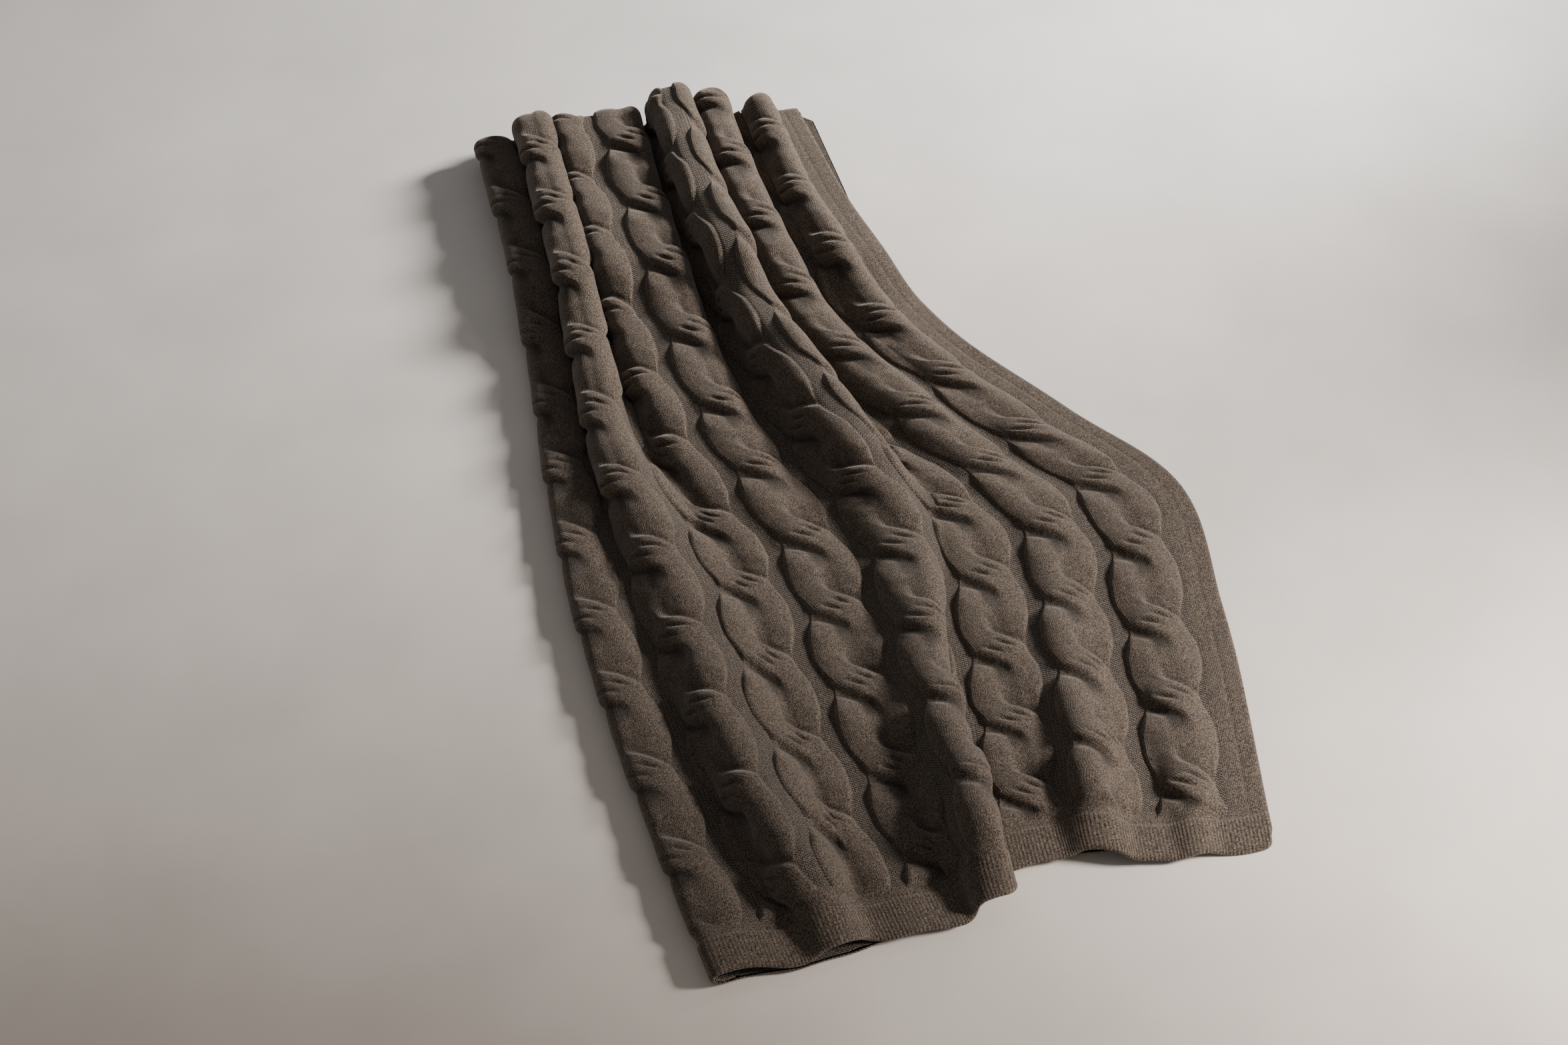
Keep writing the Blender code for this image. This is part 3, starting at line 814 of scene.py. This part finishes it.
def baking_map(across, along, segments):
    """Corner places on a square, with a long strip cut into segments laid side by side."""
    along = along[:, 0]
    borders = np.linspace(along[0], along[-1], segments + 1)
    segment = np.searchsorted(borders[1:-1], (along[:-1] + along[1:]) / 2, side="right")
    start = np.array([along[:-1][segment == k].min() for k in range(segments)])
    stop = np.array([along[1:][segment == k].max() for k in range(segments)])
    tall = (stop - start).max()
    u = (across - across[0]) / (across[-1] - across[0])
    u = np.stack([u[:-1], u[1:], u[1:], u[:-1]], axis=-1)[None]
    u = (segment[:, None, None] + MAP_EDGE + (1 - 2 * MAP_EDGE) * u) / segments
    near, far = (along[:-1] - start[segment]) / tall, (along[1:] - start[segment]) / tall
    v = MAP_EDGE + (1 - 2 * MAP_EDGE) * np.stack([near, near, far, far], axis=-1)[:, None]
    return surface_map(u, np.broadcast_to(v, u.shape))


def knit_map(cloth, cut, faces):
    """Corner places counted in wales and courses, along each strand where there is one."""
    across, along = cloth.across[:, cut], cloth.along[:, cut]
    wale = corner_values(across / WALE, faces)
    rises = [corner_values(rise[:, cut], faces).mean(1) for rise in cloth.rises]
    wales = [corner_values(wales[:, cut], faces) for wales in cloth.wales]
    by_side = corner_values(cloth.by_side[:, cut], faces).mean(1) > 0.5
    for first, second, chosen in ((0, 1, ~by_side), (2, 3, by_side)):
        stranded = chosen & (np.maximum(rises[first], rises[second]) > 0)
        higher = rises[first] >= rises[second]
        wale = np.where((stranded & higher)[:, None], wales[first], wale)
        wale = np.where((stranded & ~higher)[:, None], wales[second], wale)
    return surface_map(wale, corner_values(along / COURSE, faces))


def put_mesh(name, points, faces, material, maps, values, normals=None):
    """A piece of the throw from arrays: its points and faces, surface maps and values at points."""
    mesh = bpy.data.meshes.new(name)
    points = points.reshape(-1, 3)
    mesh.vertices.add(len(points))
    mesh.vertices.foreach_set("co", points.astype(np.float32).ravel())
    mesh.loops.add(faces.size)
    mesh.loops.foreach_set("vertex_index", faces.astype(np.int32).ravel())
    mesh.polygons.add(len(faces))
    mesh.polygons.foreach_set("loop_start", np.arange(0, faces.size, 4, dtype=np.int32))
    mesh.update(calc_edges=True)
    mesh.validate()
    for label, corner in maps.items():
        layer = mesh.uv_layers.new(name=label)
        layer.data.foreach_set("uv", corner.astype(np.float32).ravel())
    for label, at_points in values.items():
        layer = mesh.attributes.new(label, "FLOAT", "POINT")
        layer.data.foreach_set("value", at_points.astype(np.float32).ravel())
    mesh.shade_smooth()
    if normals is not None:
        mesh.normals_split_custom_set_from_vertices(normals.reshape(-1, 3).astype(np.float32).tolist())
    mesh.materials.append(material)
    piece = bpy.data.objects.new(name, mesh)
    bpy.context.scene.collection.objects.link(piece)
    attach(piece, "root")
    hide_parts("blanket")
    return piece


def make_strips(cloth, material):
    """The face of the cloth: the turned side, the cables that show and the side band."""
    names = list(cloth.strips)
    made = []
    for name, following in zip(names, names[1:]):
        cut = slice(cloth.strips[name], cloth.strips[following] + 1)
        points = cloth.face[:, cut]
        faces = quads(*points.shape[:2])
        segments = SEGMENTS.get(name, SEGMENTS_OF_A_CABLE)
        maps = {
            "OFBake": baking_map(cloth.flat[cut], cloth.along[:, cut], segments),
            "Knit": knit_map(cloth, cut, faces),
        }
        values = {label: getattr(cloth, label)[:, cut] for label in ("purl", "painted_shade", "ribbed")}
        made.append(put_mesh(name, points, faces, material, maps, values, cloth.normal[:, cut]))
    return made


def thinned(count):
    """Every few of a count of lines, and always the last one."""
    picked = np.arange(0, count, BACK_EVERY)
    return picked if picked[-1] == count - 1 else np.append(picked, count - 1)


def make_back(cloth, material):
    """The whole back of the cloth, from edge to edge."""
    pick = np.ix_(thinned(cloth.back.shape[0]), thinned(cloth.back.shape[1]))
    points, across, along = cloth.back[pick], cloth.across[pick], cloth.along[pick]
    faces = quads(*points.shape[:2])[:, ::-1]
    maps = {
        "OFBake": surface_map(corner_values(across / WIDTH, faces), corner_values(along / LENGTH, faces)),
        "Knit": surface_map(corner_values(across / WALE, faces), corner_values(along / COURSE, faces)),
    }
    return put_mesh("back", points, faces, material, maps, {"purl": np.ones(across.shape)})


class Graph:
    """Short ways to add shader nodes to a material."""

    def __init__(self, material):
        material.use_nodes = True
        self.tree = material.node_tree
        self.shader = self.tree.nodes["Principled BSDF"]

    def put(self, socket, value):
        """Links a socket to another one, or gives it a constant."""
        if isinstance(value, bpy.types.NodeSocket):
            self.tree.links.new(value, socket)
        else:
            socket.default_value = value

    def node(self, kind, **values):
        """A new node, with its settings and inputs given by name."""
        made = self.tree.nodes.new(kind)
        for key, value in values.items():
            if hasattr(made, key):
                setattr(made, key, value)
            else:
                self.put(made.inputs[key.replace("_", " ")], value)
        return made

    def value_at_points(self, label):
        return self.node("ShaderNodeAttribute", attribute_name=label).outputs["Fac"]

    def place(self):
        return self.node("ShaderNodeTexCoord").outputs["Object"]

    def math(self, operation, *values):
        made = self.tree.nodes.new("ShaderNodeMath")
        made.operation = operation
        for socket, value in zip(made.inputs, values):
            self.put(socket, value)
        return made.outputs[0]

    def wave(self, turns, kind="SINE"):
        """The sine or cosine of a number of whole turns."""
        return self.math(kind, self.math("MULTIPLY", turns, 2 * math.pi))

    def between(self, value, low, high, new_low, new_high):
        """The value, moved from the range low to high to the new range and kept inside it."""
        made = self.tree.nodes.new("ShaderNodeMapRange")
        for socket, part in zip(made.inputs, (value, low, high, new_low, new_high)):
            self.put(socket, part)
        return made.outputs[0]

    def varied(self, noise, share):
        """A shade that the noise moves up and down from 1 by a share."""
        return self.between(noise, *NOISE_SPREAD, 1 - share, 1 + share)

    def mix(self, share, first, second):
        """A number that goes from the first to the second as the share goes from 0 to 1."""
        return self.math("MULTIPLY_ADD", self.math("SUBTRACT", second, first), share, first)

    def blend(self, share, first, second):
        """The same with two colours."""
        made = self.tree.nodes.new("ShaderNodeMix")
        made.data_type = "RGBA"
        colour_sockets = [socket for socket in made.inputs if socket.type == "RGBA"]
        self.put(made.inputs["Factor"], share)
        self.put(colour_sockets[0], first)
        self.put(colour_sockets[1], second)
        return next(socket for socket in made.outputs if socket.type == "RGBA")

    def noise(self, where, size, detail):
        """Noise whose largest spots have this size."""
        made = self.node("ShaderNodeTexNoise", Vector=where, Scale=1 / size, Detail=detail)
        return made.outputs["Fac"]

    def paint(self, colour, shade):
        """Gives the shader the colour, made darker or brighter by the shade."""
        scaled = self.node("ShaderNodeVectorMath", operation="SCALE", Scale=shade)
        self.put(scaled.inputs[0], colour)
        self.put(self.shader.inputs["Base Color"], scaled.outputs[0])


def knit_stitches(g, wale, course):
    """Heights from 0 to 1, where the two legs of each stitch slope away from its wale's middle."""
    from_middle = g.math("ABSOLUTE", g.math("SUBTRACT", g.math("FRACT", wale), 0.5))
    leg = g.math("POWER", g.math("ABSOLUTE", g.wave(from_middle)), LEG_ROUND)
    turns = g.wave(g.math("MULTIPLY_ADD", from_middle, -LEG_SLOPE, course))
    return g.math("MULTIPLY", leg, g.between(turns, -1, 1, LEG_GAP, 1))


def purl_stitches(g, wale, course):
    """Heights from 0 to 1 of the short crosswise waves on the knit's other side."""
    waved = g.math("MULTIPLY_ADD", g.wave(wale), PURL_WAVE, course)
    return g.between(g.wave(waved), -1, 1, 0, 1)


def hem_ribs(g, wale):
    """Heights from 0 to 1 of upright ribs, one to a wale."""
    return g.between(g.wave(wale, "COSINE"), -1, 1, 0, 1)


def knit_material():
    """Fine stocking stitch with its purl side in the sunken bands, in heathered wool, with shade painted
    between the stitches and in the cables' hollows and creases.
    """
    material = bpy.data.materials.new("knit_wool")
    g = Graph(material)
    place = g.place()
    split = g.node("ShaderNodeSeparateXYZ", Vector=g.node("ShaderNodeUVMap", uv_map="Knit").outputs[0])
    wale, course = split.outputs[0], split.outputs[1]
    # the last of these values at points is the painted shade of the hollows and creases
    purl, ribbed, painted_shade = (g.value_at_points(label) for label in ("purl", "ribbed", "painted_shade"))

    def by_stitch(knit_value, purl_value, rib_value):
        """The one of three values that goes with the kind of stitch at a place."""
        return g.between(ribbed, 0, 1, g.between(purl, 0, 1, knit_value, purl_value), rib_value)

    stitched = g.mix(purl, knit_stitches(g, wale, course), purl_stitches(g, wale, course))
    stitched = g.mix(ribbed, stitched, hem_ribs(g, wale))
    fibre = g.noise(place, FIBRE, detail=2)
    high = by_stitch(STITCH_HIGH, PURL_HIGH, RIB_HIGH)
    height = g.math("MULTIPLY_ADD", stitched, high, g.math("MULTIPLY", fibre, FIBRE_HIGH))
    bumped = g.node("ShaderNodeBump", Height=height, Strength=1.0, Distance=1.0)

    heather = g.between(g.noise(place, HEATHER, detail=2), *HEATHERED, 0, 1)
    # painted shade in the gaps between stitches, darkest where a stitch is lowest; the grain and the
    # clouds below are the wool's own random tone
    shade = g.between(stitched, 0, 1, by_stitch(GAP_PAINTED_SHADE, PURL_GAP_PAINTED_SHADE, RIB_GAP_PAINTED_SHADE), 1)
    shade = g.math("MULTIPLY", shade, g.varied(g.noise(place, CLOUDS, detail=1), CLOUDY))
    shade = g.math("MULTIPLY", shade, g.varied(fibre, FIBRE_SHADE))
    # painted shade in the cables' hollows and creases, down to DEEP_SHADE of the brightness at the
    # deepest
    shade = g.math("MULTIPLY", shade, g.between(painted_shade, 0, 1, 1, DEEP_SHADE))
    g.paint(g.blend(heather, WOOL_DARK, WOOL_PALE), shade)

    g.put(g.shader.inputs["Normal"], bumped.outputs[0])
    g.put(g.shader.inputs["Roughness"], g.between(stitched, 0, 1, *WOOL_ROUGH))
    g.shader.inputs["Specular IOR Level"].default_value = WOOL_SPECULAR
    g.shader.inputs["Sheen Weight"].default_value = SHEEN
    g.shader.inputs["Sheen Roughness"].default_value = SHEEN_ROUGH
    g.shader.inputs["Sheen Tint"].default_value = SHEEN_TINT
    return material


def floor_material():
    """A pale matt floor, warmer on the near side, with faint patches."""
    material = bpy.data.materials.new("pale_floor")
    g = Graph(material)
    place = g.place()
    y = g.node("ShaderNodeSeparateXYZ", Vector=place).outputs[1]
    colour = g.blend(g.between(y, *FLOOR_CHANGES, 0, 1), FLOOR_NEAR, FLOOR_FAR)
    g.paint(colour, g.varied(g.noise(place, FLOOR_MOTTLE, detail=4), MOTTLED))
    g.shader.inputs["Roughness"].default_value = FLOOR_ROUGH
    return material


def make_floor():
    half = FLOOR_SIZE / 2
    mesh = bpy.data.meshes.new("floor")
    corners_at = [(x * half, y * half, FLOOR_Z) for x, y in ((-1, -1), (1, -1), (1, 1), (-1, 1))]
    mesh.from_pydata(corners_at, [], [(0, 1, 2, 3)])
    mesh.materials.append(floor_material())
    floor = bpy.data.objects.new("floor", mesh)
    bpy.context.scene.collection.objects.link(floor)
    floor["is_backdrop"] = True


def aim(item, at):
    """Turns a lamp or a camera to look at a place."""
    direction = Vector(at) - item.location
    item.rotation_euler = direction.to_track_quat("-Z", "Y").to_euler()


def add_lamp(lamp):
    light = bpy.data.lights.new(lamp.name, "SPOT")
    light.spot_size = math.radians(lamp.cone)
    light.spot_blend = 1.0
    light.shadow_soft_size = lamp.soft
    light.energy = lamp.power
    light.color = lamp.colour
    item = bpy.data.objects.new(lamp.name, light)
    item.location = lamp.place
    bpy.context.scene.collection.objects.link(item)
    aim(item, lamp.towards)


def set_camera():
    camera = bpy.data.cameras.new("camera")
    camera.sensor_width = CAMERA_SENSOR
    camera.lens = CAMERA_LENS
    camera.shift_x, camera.shift_y = CAMERA_SHIFT
    item = bpy.data.objects.new("camera", camera)
    tilt = math.radians(CAMERA_ABOVE)
    away = Vector((0, -math.cos(tilt), math.sin(tilt)))
    item.location = Vector(CAMERA_LOOKS_AT) + CAMERA_AWAY * away
    bpy.context.scene.collection.objects.link(item)
    aim(item, CAMERA_LOOKS_AT)
    bpy.context.scene.camera = item


def set_world():
    world = bpy.data.worlds.new("studio")
    world.use_nodes = True
    background = world.node_tree.nodes["Background"]
    background.inputs["Color"].default_value = (*SKY, 1)
    background.inputs["Strength"].default_value = SKY_STRENGTH
    bpy.context.scene.world = world


def main():
    set_camera()
    cloth = Cloth()
    wool = knit_material()
    strips = make_strips(cloth, wool)
    back = make_back(cloth, wool)
    make_floor()
    for lamp in LAMPS:
        add_lamp(lamp)
    set_world()
    boxes = {"cad": SOLID_BOX, "visual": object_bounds()}
    boxes = {name: [list(corner) for corner in box] for name, box in boxes.items()}


main()
